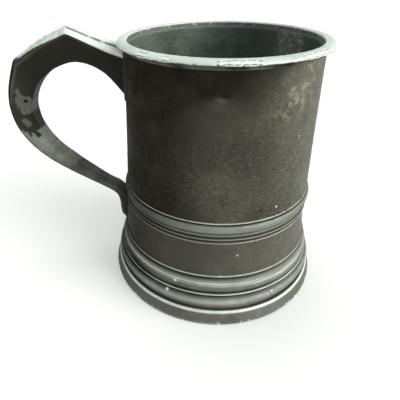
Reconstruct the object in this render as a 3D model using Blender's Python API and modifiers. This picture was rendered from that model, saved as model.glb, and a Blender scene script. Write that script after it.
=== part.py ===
"""A pint pewter mug: a tapering drum with an everted lip, a waist band, a moulded foot and a broken-back handle.

Metres, +Z up. The mug stands on Z = 0 and its handle points to -X. The origin is the middle of the
bounding box's base, so the mug's own axis stands at X = MUG_X. Every size below is in millimetres and
becomes metres through MM. R is a radius about the mug's axis, S a distance from it along the handle.
"""

import math

import bmesh
import bpy
from mathutils import Vector

MM = 0.001

# Clearances and facets
GAP = 0.3  # between the faces of neighbouring pieces
TURN_STEPS = 60  # facets round a turned piece
CLEAN = 0.00001  # merge distance in metres

# Drum, from the lip down to the waist
HEIGHT = 115.4
MOUTH_R = 39.65
RIM_R = 44.1
RIM_UNDERSIDE_Z = 113.3
DRUM_TOP_Z = 113.0
DRUM_TOP_R = 40.95
DRUM_TAPER = 0.052  # radius gained for each millimetre down
DRUM_FLARE = 0.00014  # and its square term, a slight hollow in the wall
DRUM_SHOULDER_Z = 51.4
SPIGOT_R = 43.6
SPIGOT_END_Z = 45.3
DRUM_BORE_R = 42.6  # inside radius at the spigot

# Waist band
BAND_MID_Z = 48.85
BAND_HALF_HEIGHT = 2.25
BAND_CREST_R = 45.95
BAND_ROOT_R = 44.75

# Lower body
SOCKET_Z = 46.3
SOCKET_FLOOR_Z = SPIGOT_END_Z - GAP
WAIST_R = 45.1
REED_ZS = (44.0, 41.9)
REED_HEIGHT = 0.4
REED_HALF_WIDTH = 0.6
WAIST_LINE = [(45.3, 38.4), (45.85, 33.0), (46.55, 28.0), (47.05, 25.5), (47.7, 25.0)]
OVOLO_LINE = [(47.75, 24.4), (47.4, 23.7), (48.25, 22.8), (48.75, 21.9), (48.8, 21.0)]
SKIRT_TOP_Z = 20.1
TAIL_R = 46.6  # the lower body's tail, inside the skirt
TAIL_BORE_R = 44.2
TAIL_END_Z = 7.4
SEAT_R = 45.6  # rebate that takes the base and the foot's collar

# Base and foot
BASE_R = 45.3
BASE_BOTTOM_Z = 10.0
BASE_THICK = 2.2
FOOT_TOP_Z = 7.1
FOOT_R = 54.7
FOOT_COLLAR_R = 42.8  # bore of the foot's collar, which carries the base

# Handle: crown line and belly line as (S, Z), and half width, station by station
HANDLE_STATIONS = (
    ((36.0, 110.0), (36.0, 84.0), 6.9),
    ((53.5, 114.8), (51.4, 100.8), 6.9),
    ((65.6, 119.4), (62.7, 104.9), 6.9),
    ((79.0, 113.5), (73.8, 101.9), 6.9),
    ((92.3, 105.4), (82.4, 95.8), 6.9),
    ((98.3, 92.5), (87.4, 88.3), 6.4),
    ((100.2, 82.0), (89.0, 81.0), 6.1),
    ((97.9, 70.5), (87.0, 72.0), 5.7),
    ((89.5, 59.3), (81.3, 63.9), 5.3),
    ((76.5, 50.2), (71.0, 55.3), 4.8),
    ((61.4, 42.2), (57.8, 46.0), 4.25),
    ((53.3, 37.4), (50.4, 41.9), 4.3),
    ((51.2, 33.2), (45.0, 35.7), 4.4),
    ((51.1, 28.0), (45.5, 28.0), 4.4),
    ((50.7, 23.2), (46.4, 23.2), 4.1),
)
BREAKS = (2, 4)  # stations where the crown line turns a sharp corner
STATION_STEPS = 4
HANDLE_REACH = 100.25  # furthest the crown line gets from the mug's axis
CHAMFER = 0.375  # fall of the handle's shoulder, as a share of its half width
CREASE = 0.6  # where the chamfer starts, as a share of the half width
HANDLE_WALL = 2.1
CAVITY_LAST = 8  # the casting is hollow as far as this station
CORE_PIN_R = 0.9
CORE_PIN_AT = (90.0, 87.4)
PAD_THICK = 0.9  # solder between the handle and the mug
UPPER_PAD = (88.4, 111.0)
LOWER_PAD = (21.6, 40.0)

MUG_X = (HANDLE_REACH - FOOT_R) / 2


def drum_radius(z):
    """Outside radius of the drum at height z."""
    depth = DRUM_TOP_Z - z
    return DRUM_TOP_R + DRUM_TAPER * depth + DRUM_FLARE * depth * depth


def arc(centre, radii, start, end, steps):
    """Points on an elliptical arc in the (R, Z) plane, angles in degrees from +R towards +Z."""
    points = []
    for i in range(steps + 1):
        angle = math.radians(start + (end - start) * i / steps)
        points.append((centre[0] + radii[0] * math.cos(angle), centre[1] + radii[1] * math.sin(angle)))
    return points


def clear_scene():
    for old in list(bpy.data.objects):
        bpy.data.objects.remove(old, do_unlink=True)


def new_collection(name):
    made = bpy.data.collections.new(name)
    bpy.context.scene.collection.children.link(made)
    return made


def new_material(name, colour, roughness):
    made = bpy.data.materials.new(name)
    made.use_nodes = True
    shader = made.node_tree.nodes["Principled BSDF"]
    shader.inputs["Base Color"].default_value = (*colour, 1.0)
    shader.inputs["Metallic"].default_value = 0.85
    shader.inputs["Roughness"].default_value = roughness
    return made


def add_object(name, mesh, group, material=None):
    made = bpy.data.objects.new(name, mesh)
    group.objects.link(made)
    made.parent = mug_axis
    if material is None:
        made.hide_render = True
        made.display_type = "WIRE"
    else:
        mesh.materials.append(material)
    return made


def turned(name, profile, group, material=None, closed=True):
    """A profile of (R, Z) points, run down the outer side, turned about the mug's axis."""
    mesh = bpy.data.meshes.new(name)
    count = len(profile)
    edges = [(i, i + 1) for i in range(count - 1)]
    if closed:
        edges.append((count - 1, 0))
    mesh.from_pydata([(r * MM, 0, z * MM) for r, z in profile], edges, [])
    made = add_object(name, mesh, group, material)
    screw = made.modifiers.new("Turn", "SCREW")
    screw.axis = "Z"
    screw.angle = math.tau
    screw.steps = TURN_STEPS
    screw.render_steps = TURN_STEPS
    screw.use_merge_vertices = True
    screw.merge_threshold = CLEAN
    screw.use_smooth_shade = True
    return made


def loft(name, loops, group, material=None):
    """A closed skin over loops of points that all have the same count, capped at both ends."""
    build = bmesh.new()
    rings = [[build.verts.new(Vector(p) * MM) for p in loop] for loop in loops]
    for near, far in zip(rings, rings[1:]):
        for i in range(len(near)):
            j = (i + 1) % len(near)
            build.faces.new((near[i], near[j], far[j], far[i]))
    build.faces.new(list(reversed(rings[0])))
    build.faces.new(rings[-1])
    bmesh.ops.recalc_face_normals(build, faces=build.faces)
    mesh = bpy.data.meshes.new(name)
    build.to_mesh(mesh)
    build.free()
    mesh.shade_smooth()
    mesh.set_sharp_from_angle(angle=math.radians(25))
    return add_object(name, mesh, group, material)


def boolean(piece, cutter, operation):
    made = piece.modifiers.new(operation.title() + " " + cutter.name, "BOOLEAN")
    made.operation = operation
    made.solver = "EXACT"
    made.object = cutter


def make_rim(material):
    """The everted lip: a flange over the drum's end, with a small cove down its outside."""
    edge_r = (HEIGHT - RIM_UNDERSIDE_Z) / 2
    edge_z = (HEIGHT + RIM_UNDERSIDE_Z) / 2
    socket_r = DRUM_TOP_R + 0.35
    profile = [(MOUTH_R + 0.45, HEIGHT)]
    profile += arc((RIM_R - edge_r, edge_z), (edge_r, edge_r), 90, -90, 6)
    profile += [(42.3, 112.8), (41.9, 111.9), (socket_r, 111.9), (socket_r, DRUM_TOP_Z + GAP)]
    profile += [(MOUTH_R, DRUM_TOP_Z + GAP), (MOUTH_R, HEIGHT - 0.45)]
    return turned("rim_ring", profile, parts, material)


def make_drum(material):
    """The tapering drum, with a fine bead and a turned-down spigot at its lower end."""
    profile = [(drum_radius(z), z) for z in (DRUM_TOP_Z, 103.0, 88.0, 70.0, 52.7)]
    profile += [(44.85, 52.2), (44.85, 51.8), (44.6, DRUM_SHOULDER_Z), (SPIGOT_R, DRUM_SHOULDER_Z)]
    profile += [(SPIGOT_R, SPIGOT_END_Z), (DRUM_BORE_R, SPIGOT_END_Z), (DRUM_BORE_R, 52.0)]
    profile += [(MOUTH_R, DRUM_TOP_Z)]
    return turned("drum", profile, parts, material)


def make_band(material):
    """The half-round band that covers the joint at the waist."""
    bore = SPIGOT_R + GAP
    swell = (BAND_CREST_R - BAND_ROOT_R, BAND_HALF_HEIGHT)
    profile = [(bore, BAND_MID_Z + BAND_HALF_HEIGHT)]
    profile += arc((BAND_ROOT_R, BAND_MID_Z), swell, 90, -90, 8)
    profile += [(bore, BAND_MID_Z - BAND_HALF_HEIGHT)]
    return turned("waist_band", profile, parts, material)


def reed(z, root):
    return [(root, z + REED_HALF_WIDTH), (root + REED_HEIGHT, z), (root + 0.05, z - REED_HALF_WIDTH)]


def make_lower_body(material):
    """The flared lower body: a socket for the drum, two reeds, a hollow waist and an ovolo."""
    socket_r = SPIGOT_R + GAP
    profile = [(socket_r, SOCKET_Z), (WAIST_R, SOCKET_Z), (WAIST_R, 44.9)]
    for z in REED_ZS:
        profile += reed(z, WAIST_R + 0.05)
    profile += WAIST_LINE + OVOLO_LINE
    profile += [(48.6, SKIRT_TOP_Z + GAP), (TAIL_R, SKIRT_TOP_Z + GAP), (TAIL_R, TAIL_END_Z)]
    profile += [(SEAT_R, TAIL_END_Z), (SEAT_R, BASE_BOTTOM_Z + BASE_THICK + GAP)]
    profile += [(TAIL_BORE_R, BASE_BOTTOM_Z + BASE_THICK + GAP), (TAIL_BORE_R, 22.0)]
    profile += [(DRUM_BORE_R, SOCKET_FLOOR_Z), (socket_r, SOCKET_FLOOR_Z)]
    return turned("lower_body", profile, parts, material)


def make_skirt(material):
    """The moulded skirt round the tail: a hollow face, a fillet and a fat torus."""
    bore = TAIL_R + GAP
    bottom = FOOT_TOP_Z + GAP
    profile = [(bore, SKIRT_TOP_Z), (49.25, SKIRT_TOP_Z), (49.4, 19.4), (49.4, 17.8), (49.75, 16.2)]
    profile += [(50.25, 15.6), (50.25, 15.0), (49.95, 14.4)]
    profile += arc((49.95, 10.8), (2.1, 3.0), 80, -72, 8)
    profile += [(50.6, bottom), (bore, bottom)]
    return turned("foot_skirt", profile, parts, material)


def make_foot(material):
    """The foot ring: a splayed plain band to stand on, with a collar inside that carries the base."""
    collar_top = BASE_BOTTOM_Z - GAP
    profile = [(FOOT_COLLAR_R, collar_top), (BASE_R, collar_top), (BASE_R, FOOT_TOP_Z)]
    profile += [(52.3, FOOT_TOP_Z), (52.75, 6.6), (52.8, 6.0)]
    profile += [(FOOT_R, 0.8), (FOOT_R, 0.4), (FOOT_R - 0.4, 0), (51.2, 0)]
    profile += [(49.8, 4.0), (47.5, 5.0), (FOOT_COLLAR_R, 7.2)]
    return turned("foot_ring", profile, parts, material)


def make_base(material):
    """The base plate, dished up a little at its middle."""
    top = BASE_BOTTOM_Z + BASE_THICK
    profile = [(0, top + 0.6), (28, top + 0.6), (41, top), (BASE_R, top)]
    profile += [(BASE_R, BASE_BOTTOM_Z), (41, BASE_BOTTOM_Z), (28, BASE_BOTTOM_Z + 0.6)]
    profile += [(0, BASE_BOTTOM_Z + 0.6)]
    return turned("base_plate", profile, parts, material, closed=False)


def make_base_solder(material):
    """The fillet of solder in the corner between the base and the lower body."""
    outer = TAIL_BORE_R - GAP
    low = BASE_BOTTOM_Z + BASE_THICK + GAP
    profile = [(outer, low + 2.0), (outer, low), (outer - 2.2, low)]
    profile += arc((outer - 2.2, low + 2.0), (1.75, 1.55), -70, -20, 3)
    return turned("base_solder", profile, parts, material)


def smooth(points, corners):
    """Points along a Catmull-Rom curve through the given points, straight-ended at each corner."""
    line = []
    last = len(points) - 1
    for i in range(last):
        b, c = Vector(points[i]), Vector(points[i + 1])
        a = 2 * b - c if i == 0 or i in corners else Vector(points[i - 1])
        d = 2 * c - b if i + 1 == last or i + 1 in corners else Vector(points[i + 2])
        for k in range(STATION_STEPS):
            t = k / STATION_STEPS
            line.append(
                0.5 * (2 * b + (c - a) * t + (2 * a - 5 * b + 4 * c - d) * t * t
                       + (3 * b - a - 3 * c + d) * t * t * t)
            )
    line.append(Vector(points[last]))
    return line


def section(crown, belly, half, inset=0.0):
    """Half a handle section, crown to belly, as (depth, width) points pulled in by inset."""
    depth = (belly - crown).length - inset
    wide = half - inset
    fall = CHAMFER * half
    return [
        (inset, 0.0),
        (inset + 0.28 * fall, CREASE * wide),
        (inset + fall, wide),
        (depth - 0.4 * half, wide),
        (depth - 0.15 * half, 0.86 * wide),
        (depth, 0.55 * wide),
        (depth, 0.0),
    ]


def cut_at(points, width):
    """Where a section's outline, crown to belly, crosses the seam: (depth on the crown, on the belly)."""
    crossings = []
    for (d0, w0), (d1, w1) in zip(points, points[1:]):
        if (w0 - width) * (w1 - width) < 0:
            crossings.append(d0 + (d1 - d0) * (width - w0) / (w1 - w0))
    return crossings[0], crossings[-1]


def place(crown, belly, outline):
    along = (belly - crown).normalized()
    return [(-(crown.x + along.x * d), w, crown.y + along.y * d) for d, w in outline]


def body_outline(points, seam):
    """The section of the main casting: everything on the far side of the seam."""
    top, bottom = cut_at(points, seam)
    belly_edge = (points[5][0], -points[5][1])
    return points + [belly_edge, (bottom, -seam), (top, -seam)]


def plate_outline(points, seam):
    """The section of the side casting: everything on the near side of the seam."""
    top, bottom = cut_at(points, seam)
    outline = [(top, -seam)]
    outline += [(d, -w) for d, w in points if w > seam]
    outline += [(bottom, -seam)]
    return outline


def handle_lines():
    crown = smooth([s[0] for s in HANDLE_STATIONS], BREAKS)
    belly = smooth([s[1] for s in HANDLE_STATIONS], ())
    width = smooth([(s[2], 0) for s in HANDLE_STATIONS], range(len(HANDLE_STATIONS)))
    return list(zip(crown, belly, [w.x for w in width]))


def make_clearance(name, extra, group):
    """A solid of the mug's outside grown by extra, to shape what is soldered to it."""
    profile = [(0, DRUM_TOP_Z - 1)]
    profile += [(drum_radius(z) + extra, z) for z in (DRUM_TOP_Z - 1, 103.0, 88.0, 70.0, 52.7)]
    profile += [(WAIST_R + extra, 44.0)]
    profile += [(r + extra, z) for r, z in WAIST_LINE + OVOLO_LINE[:1] + OVOLO_LINE[2:]]
    profile += [(48.8 + extra, 20.0), (0, 20.0)]
    return turned(name, profile, group, closed=False)


def make_cavity():
    lines = handle_lines()[: CAVITY_LAST * STATION_STEPS + 1]
    loops = []
    for crown, belly, half in lines:
        points = section(crown, belly, half, HANDLE_WALL)
        outline = points + [(d, -w) for d, w in reversed(points[1:-1])]
        loops.append(place(crown, belly, outline))
    return loft("handle_cavity", loops, cutters)


def make_core_pin_hole():
    s, z = CORE_PIN_AT
    bpy.ops.mesh.primitive_cylinder_add(vertices=16, radius=CORE_PIN_R * MM, depth=6 * MM)
    made = bpy.context.object
    made.name = "core_pin_hole"
    made.rotation_euler = (math.pi / 2, 0, 0)
    made.location = (-s * MM, -7 * MM, z * MM)
    made.hide_render = True
    made.display_type = "WIRE"
    for group in made.users_collection:
        group.objects.unlink(made)
    cutters.objects.link(made)
    made.parent = mug_axis
    return made


def make_handle(material):
    """The handle's two castings, which meet on a seam along the near crease of its back."""
    body_loops = []
    plate_loops = []
    for crown, belly, half in handle_lines():
        points = section(crown, belly, half)
        seam = CREASE * half
        body_loops.append(place(crown, belly, body_outline(points, seam - GAP / 2)))
        plate_loops.append(place(crown, belly, plate_outline(points, seam + GAP / 2)))
    body = loft("handle_body", body_loops, parts, material)
    plate = loft("handle_side", plate_loops, parts, material)
    cavity = make_cavity()
    clearance = make_clearance("handle_clearance", 2 * GAP + PAD_THICK, cutters)
    for piece in (body, plate):
        boolean(piece, clearance, "DIFFERENCE")
        boolean(piece, cavity, "DIFFERENCE")
    boolean(plate, make_core_pin_hole(), "DIFFERENCE")


def make_pad(name, span, half, inner, outer, material):
    """A pad of solder between the handle and the mug's wall, as high as span."""
    low, high = span
    corner = 1.6
    outline = []
    for cy, cz, start in (
        (half - corner, high - corner, 0),
        (corner - half, high - corner, 90),
        (corner - half, low + corner, 180),
        (half - corner, low + corner, 270),
    ):
        outline += arc((cy, cz), (corner, corner), start, start + 90, 4)
    loops = [[(-s, y, z) for y, z in outline] for s in (36.0, 56.0)]
    pad = loft(name, loops, parts, material)
    boolean(pad, outer, "INTERSECT")
    boolean(pad, inner, "DIFFERENCE")


clear_scene()
parts = new_collection("pewter_mug")
cutters = new_collection("cutters")
mug_axis = bpy.data.objects.new("mug_axis", None)
mug_axis.location = (MUG_X * MM, 0, 0)
parts.objects.link(mug_axis)

pewter = new_material("pewter", (0.13, 0.135, 0.12), 0.5)
worn_pewter = new_material("worn_pewter", (0.3, 0.31, 0.28), 0.42)
solder = new_material("solder", (0.2, 0.21, 0.2), 0.4)

make_rim(worn_pewter)
make_drum(pewter)
make_band(worn_pewter)
make_lower_body(pewter)
make_skirt(pewter)
make_foot(pewter)
make_base(pewter)
make_base_solder(solder)
make_handle(pewter)
pad_inner = make_clearance("pad_inner", GAP, cutters)
pad_outer = make_clearance("pad_outer", GAP + PAD_THICK, cutters)
make_pad("upper_solder", UPPER_PAD, 7.4, pad_inner, pad_outer, solder)
make_pad("lower_solder", LOWER_PAD, 4.9, pad_inner, pad_outer, solder)
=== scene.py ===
"""The looks of the pewter mug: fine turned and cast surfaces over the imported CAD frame.

Profiles and stations are in millimetres about the mug's own axis and become metres through MM.
R is a radius about that axis, Z a height above the table and S a distance from the axis along the handle.
Angles are in degrees about the axis, from +X towards +Y, so -90 faces the camera and 180 is the handle.
"""
import math

import bmesh
import bpy
import numpy as np
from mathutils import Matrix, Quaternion, Vector, noise


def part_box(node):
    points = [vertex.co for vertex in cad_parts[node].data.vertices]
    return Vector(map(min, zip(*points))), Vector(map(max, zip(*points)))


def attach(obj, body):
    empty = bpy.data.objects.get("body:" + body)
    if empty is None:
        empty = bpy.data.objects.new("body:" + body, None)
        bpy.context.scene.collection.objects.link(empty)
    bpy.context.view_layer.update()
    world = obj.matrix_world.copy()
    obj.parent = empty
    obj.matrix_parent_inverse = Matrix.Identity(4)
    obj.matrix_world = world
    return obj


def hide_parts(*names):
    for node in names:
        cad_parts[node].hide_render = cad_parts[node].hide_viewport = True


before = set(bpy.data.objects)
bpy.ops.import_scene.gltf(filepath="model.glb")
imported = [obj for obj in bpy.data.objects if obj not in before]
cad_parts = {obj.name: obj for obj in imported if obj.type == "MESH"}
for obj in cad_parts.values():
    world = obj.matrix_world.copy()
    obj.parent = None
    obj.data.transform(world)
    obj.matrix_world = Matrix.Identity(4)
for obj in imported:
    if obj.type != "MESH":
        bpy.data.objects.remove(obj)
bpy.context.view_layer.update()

MM = 0.001
foot_low, foot_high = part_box("foot_ring")
AXIS_X = (foot_low.x + foot_high.x) / 2

# Camera: a close view from the side, looking down on the mouth
CAMERA_AT = (AXIS_X, -0.16155, 0.14208)
CAMERA_YAW = -7.47
CAMERA_PITCH = 34.98
CAMERA_ROLL = -0.91
CAMERA_LENS = 32.17
CAMERA_SHIFT = (0.0626, 0.0166)

# Drum, waist and foot: the sizes of the CAD model
HEIGHT = 115.4
MOUTH_R = 39.65
RIM_R = 44.1
RIM_UNDERSIDE_Z = 113.3
DRUM_TOP_Z = 113.0
DRUM_TOP_R = 40.95
DRUM_TAPER = 0.052
DRUM_FLARE = 0.00014
WAIST_LINE = [(45.3, 38.4), (45.85, 33.0), (46.55, 28.0), (47.05, 25.5)]
REED_ZS = (44.0, 41.9)
REED_ROOT_R = 45.15

# What the painting functions give for each point of a surface, each from 0 to 1: rubbed metal with painted
# highlights, dirt with painted shade, oxide bloom with painted light, and white specks
PAINTS = ("wear_and_highlight", "grime_and_shade", "bloom_and_light", "speck")

# The dark colour of dirt, also used for painted shade.
GRIME_AND_SHADE_COLOUR = (0.012, 0.0105, 0.007)
PIT_COLOUR = (0.014, 0.013, 0.01)
SPECK_COLOUR = (0.74, 0.77, 0.7)
TINT = (0.4, 0.42, 0.4)


def drum_radius(z):
    """Outside radius of the drum at height z."""
    depth = DRUM_TOP_Z - z
    return DRUM_TOP_R + DRUM_TAPER * depth + DRUM_FLARE * depth * depth


# ---------------------------------------------------------------- materials


class Nodes:
    """A short way to write a node tree."""

    def __init__(self, name):
        self.material = bpy.data.materials.new(name)
        self.material.use_nodes = True
        self.tree = self.material.node_tree
        self.shader = self.tree.nodes["Principled BSDF"]
        self.place = self.add("ShaderNodeTexCoord").outputs["Object"]

    def add(self, kind, **settings):
        node = self.tree.nodes.new(kind)
        for key, value in settings.items():
            setattr(node, key, value)
        return node

    def put(self, value, socket):
        if isinstance(value, bpy.types.NodeSocket):
            self.tree.links.new(value, socket)
        elif isinstance(value, tuple) and len(value) == 3 and socket.type == "RGBA":
            socket.default_value = (*value, 1.0)
        else:
            socket.default_value = value

    def attribute(self, name):
        return self.add("ShaderNodeAttribute", attribute_name=name).outputs["Fac"]

    def noise(self, scale, detail=4.0, roughness=0.55, stretch=None, distortion=0.0):
        made = self.add("ShaderNodeTexNoise")
        self.put(self.stretched(stretch), made.inputs["Vector"])
        self.put(scale, made.inputs["Scale"])
        self.put(detail, made.inputs["Detail"])
        self.put(roughness, made.inputs["Roughness"])
        self.put(distortion, made.inputs["Distortion"])
        return made.outputs["Fac"]

    def voronoi(self, scale):
        made = self.add("ShaderNodeTexVoronoi")
        self.put(self.place, made.inputs["Vector"])
        self.put(scale, made.inputs["Scale"])
        return made.outputs["Distance"]

    def stretched(self, stretch):
        if stretch is None:
            return self.place
        mapping = self.add("ShaderNodeMapping")
        self.put(self.place, mapping.inputs["Vector"])
        self.put(stretch, mapping.inputs["Scale"])
        return mapping.outputs["Vector"]

    def ramp(self, value, low, high, out_low=0.0, out_high=1.0):
        made = self.add("ShaderNodeMapRange", interpolation_type="SMOOTHSTEP")
        for key, number in (("From Min", low), ("From Max", high), ("To Min", out_low), ("To Max", out_high)):
            self.put(number, made.inputs[key])
        self.put(value, made.inputs["Value"])
        return made.outputs["Result"]

    def math(self, operation, a, b=0.0):
        made = self.add("ShaderNodeMath", operation=operation, use_clamp=operation != "SUBTRACT")
        self.put(a, made.inputs[0])
        self.put(b, made.inputs[1])
        return made.outputs[0]

    def mix(self, share, a, b):
        made = self.add("ShaderNodeMix", data_type="RGBA")
        self.put(share, made.inputs["Factor"])
        self.put(a, made.inputs["A"])
        self.put(b, made.inputs["B"])
        return made.outputs["Result"]

    def bump(self, height, strength, distance, onward=None):
        made = self.add("ShaderNodeBump")
        self.put(strength, made.inputs["Strength"])
        self.put(distance, made.inputs["Distance"])
        self.put(height, made.inputs["Height"])
        if onward is not None:
            self.put(onward, made.inputs["Normal"])
        return made.outputs["Normal"]

    def finish(self, colour, roughness, normal, metallic):
        self.put(colour, self.shader.inputs["Base Color"])
        self.put(roughness, self.shader.inputs["Roughness"])
        self.put(normal, self.shader.inputs["Normal"])
        self.put(metallic, self.shader.inputs["Metallic"])
        return self.material


def pewter(name, dark, mid, pale, worn_and_lit, metallic=0.35, rough=0.5, streaks=0.1, specks=0.0, specular=0.3,
           crust=1.0):
    """Patinated pewter: mottled oxide, pale at rubbed places and painted highlights, near black at dirt and
    painted shade.
    """
    n = Nodes(name)
    mottle = n.ramp(n.noise(60.0, 7.0, 0.62), 0.34, 0.66)
    cloud = n.ramp(n.noise(21.0, 3.0, 0.5, distortion=0.6), 0.3, 0.7)
    blend = n.math("MULTIPLY", n.ramp(mottle, 0.0, 1.0, 0.35, 1.0), n.ramp(cloud, 0.0, 1.0, 0.4, 1.0))
    colour = n.mix(blend, dark, mid)
    fleck = n.ramp(n.noise(520.0, 5.0, 0.7), 0.54, 0.74)
    colour = n.mix(n.math("MULTIPLY", fleck, 0.08), colour, pale)
    scale = n.ramp(n.noise(300.0, 6.0, 0.75), 0.4, 0.6, 1.0 - 0.75 * crust, 1.0)
    bloom_and_light = n.math("MULTIPLY", n.attribute("bloom_and_light"), scale)
    colour = n.mix(bloom_and_light, colour, pale)
    scuffed = n.ramp(n.noise(150.0, 6.0, 0.65), 0.25, 0.65, 0.7, 1.0)
    wear_and_highlight = n.math("MULTIPLY", n.attribute("wear_and_highlight"), scuffed)
    colour = n.mix(wear_and_highlight, colour, worn_and_lit)
    grime_and_shade = n.math("MULTIPLY", n.attribute("grime_and_shade"), n.ramp(n.noise(90.0, 5.0, 0.6), 0.15, 0.7, 0.7, 1.0))
    colour = n.mix(grime_and_shade, colour, GRIME_AND_SHADE_COLOUR)
    pits = n.ramp(n.voronoi(650.0), 0.0, 0.3, 1.0, 0.0)
    pits = n.math("MULTIPLY", pits, n.ramp(n.noise(150.0, 3.0, 0.5), 0.54, 0.64))
    colour = n.mix(n.math("MULTIPLY", pits, 0.55), colour, PIT_COLOUR)
    speck = n.attribute("speck")
    if specks:
        dots = n.ramp(n.voronoi(260.0), 0.06, 0.1, 1.0, 0.0)
        chosen = n.ramp(n.noise(75.0, 2.0, 0.5), specks, specks + 0.03)
        speck = n.math("MAXIMUM", speck, n.math("MULTIPLY", dots, chosen))
    colour = n.mix(speck, colour, SPECK_COLOUR)
    roughness = n.ramp(mottle, 0.0, 1.0, rough - 0.07, rough + 0.09)
    roughness = n.math("ADD", roughness, n.math("MULTIPLY", bloom_and_light, 0.2))
    roughness = n.math("ADD", roughness, n.math("MULTIPLY", speck, 0.3))
    roughness = n.math("ADD", roughness, n.math("MULTIPLY", grime_and_shade, 0.3))
    grain = n.bump(n.noise(1500.0, 3.0, 0.6), 0.3, 0.0001)
    leather = n.bump(n.noise(1.0, 4.0, 0.65, stretch=(480.0, 480.0, 1000.0)), 0.8, 0.0004, grain)
    lumps = n.bump(n.noise(250.0, 4.0, 0.6), 0.5, 0.0005, leather)
    normal = n.bump(pits, 0.6, -0.0003, lumps)
    if streaks:
        normal = n.bump(n.noise(1.0, 3.0, 0.6, stretch=(30.0, 30.0, 1700.0)), streaks, 0.0002, normal)
    dull = n.math("MAXIMUM", n.math("MAXIMUM", bloom_and_light, speck), n.math("MULTIPLY", grime_and_shade, 0.5))
    metal = n.math("SUBTRACT", metallic, n.math("MULTIPLY", dull, metallic))
    # Dirt and painted shade both take away the specular reflection.
    n.put(n.math("MULTIPLY", n.math("SUBTRACT", 1.0, grime_and_shade), specular), n.shader.inputs["Specular IOR Level"])
    n.put(TINT, n.shader.inputs["Specular Tint"])
    return n.finish(colour, roughness, normal, metal)


DRUM_SKIN = pewter("drum_skin", (0.034, 0.032, 0.023), (0.076, 0.076, 0.056), (0.22, 0.225, 0.175),
                   (0.62, 0.64, 0.58), metallic=0.3, rough=0.47, specks=0.8)
WAIST_SKIN = pewter("waist_skin", (0.05, 0.046, 0.034), (0.085, 0.083, 0.066), (0.2, 0.2, 0.17),
                    (0.6, 0.66, 0.6), metallic=0.3, rough=0.47, streaks=0.04, specks=0.8)
FOOT_SKIN = pewter("foot_skin", (0.085, 0.084, 0.07), (0.13, 0.135, 0.115), (0.36, 0.4, 0.36),
                   (0.7, 0.77, 0.71), metallic=0.35, rough=0.45, streaks=0.04, specks=0.74)
# The rim's pale colours are partly rubbed pewter and partly painted reflection of the bright sky on its top
# and outer face.
RIM_SKIN = pewter("rim_skin", (0.42, 0.46, 0.42), (0.58, 0.64, 0.59), (0.62, 0.66, 0.6),
                  (0.74, 0.81, 0.75), metallic=0.2, rough=0.5, streaks=0.0)
INSIDE_SKIN = pewter("inside_skin", (0.055, 0.075, 0.055), (0.16, 0.19, 0.165), (0.4, 0.44, 0.36),
                     (0.5, 0.56, 0.5), metallic=0.3, rough=0.5, streaks=0.05, specks=0.8)
# The handle's near-white colour for its crown is partly rubbed pewter and partly painted reflection of the
# sky.
HANDLE_SKIN = pewter("handle_skin", (0.016, 0.0155, 0.012), (0.036, 0.036, 0.029), (0.24, 0.25, 0.215),
                     (0.74, 0.81, 0.74), metallic=0.2, rough=0.5, streaks=0.0, crust=0.3)
SOLDER_SKIN = pewter("solder_skin", (0.03, 0.029, 0.024), (0.07, 0.07, 0.06), (0.2, 0.21, 0.19),
                     (0.35, 0.38, 0.35), metallic=0.3, rough=0.45, streaks=0.0)


# ---------------------------------------------------------------- turned pieces

TURNED_SHARP = math.radians(24)
FACING_AXIS = -0.97  # a face whose normal has less than this along R looks inwards


def arc(centre, radii, start, end, steps):
    """Points on an elliptical arc in the (R, Z) plane, angles in degrees from +R towards +Z."""
    angles = [math.radians(start + (end - start) * i / steps) for i in range(steps + 1)]
    return [(centre[0] + radii[0] * math.cos(a), centre[1] + radii[1] * math.sin(a)) for a in angles]


def rounded(points, radius, steps=3, closed=True):
    """The outline with each corner turned into a short curve."""
    line = []
    count = len(points)
    for i, point in enumerate(points):
        here = Vector(point)
        if not closed and i in (0, count - 1):
            line.append(here)
            continue
        before, after = Vector(points[i - 1]), Vector(points[(i + 1) % count])
        start = here + (before - here) * min(0.45, radius / max((before - here).length, 1e-6))
        end = here + (after - here) * min(0.45, radius / max((after - here).length, 1e-6))
        for k in range(steps + 1):
            t = k / steps
            line.append((1 - t) ** 2 * start + 2 * t * (1 - t) * here + t * t * end)
    return line


def divided(points, spacing, closed=True):
    """The outline with long runs cut into steps of about spacing."""
    line = []
    count = len(points)
    for i in range(count if closed else count - 1):
        here, after = Vector(points[i]), Vector(points[(i + 1) % count])
        cuts = max(1, round((after - here).length / spacing))
        line += [here.lerp(after, k / cuts) for k in range(cuts)]
    if not closed:
        line.append(Vector(points[-1]))
    return line


def bends(points, reach, closed=True):
    """How far the surroundings within reach lie outside (+) or inside (-) each point of an outline."""
    line = np.array([tuple(p) for p in points])
    count = len(line)
    after = np.roll(line, -1, axis=0)
    steps = np.linalg.norm(after - line, axis=1)
    out = np.zeros(count)
    for i in range(count):
        sides = []
        for way in (1, -1):
            j, gone = i, 0.0
            while gone < reach and abs(j - i) < count // 2:
                nxt = j + way
                if not closed and not 0 <= nxt < count:
                    break
                gone += steps[(j if way == 1 else nxt) % count]
                j = nxt
            sides.append(line[j % count] - line[i])
        mean = (sides[0] + sides[1]) / 2
        tangent = sides[0] - sides[1]
        length = np.linalg.norm(tangent)
        if length > 1e-9:
            out[i] = (mean[1] * tangent[0] - mean[0] * tangent[1]) / length
    return out


def add_attribute(mesh, name, values):
    layer = mesh.attributes.new(name, "FLOAT", "POINT")
    layer.data.foreach_set("value", np.asarray(values, np.float32))


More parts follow.
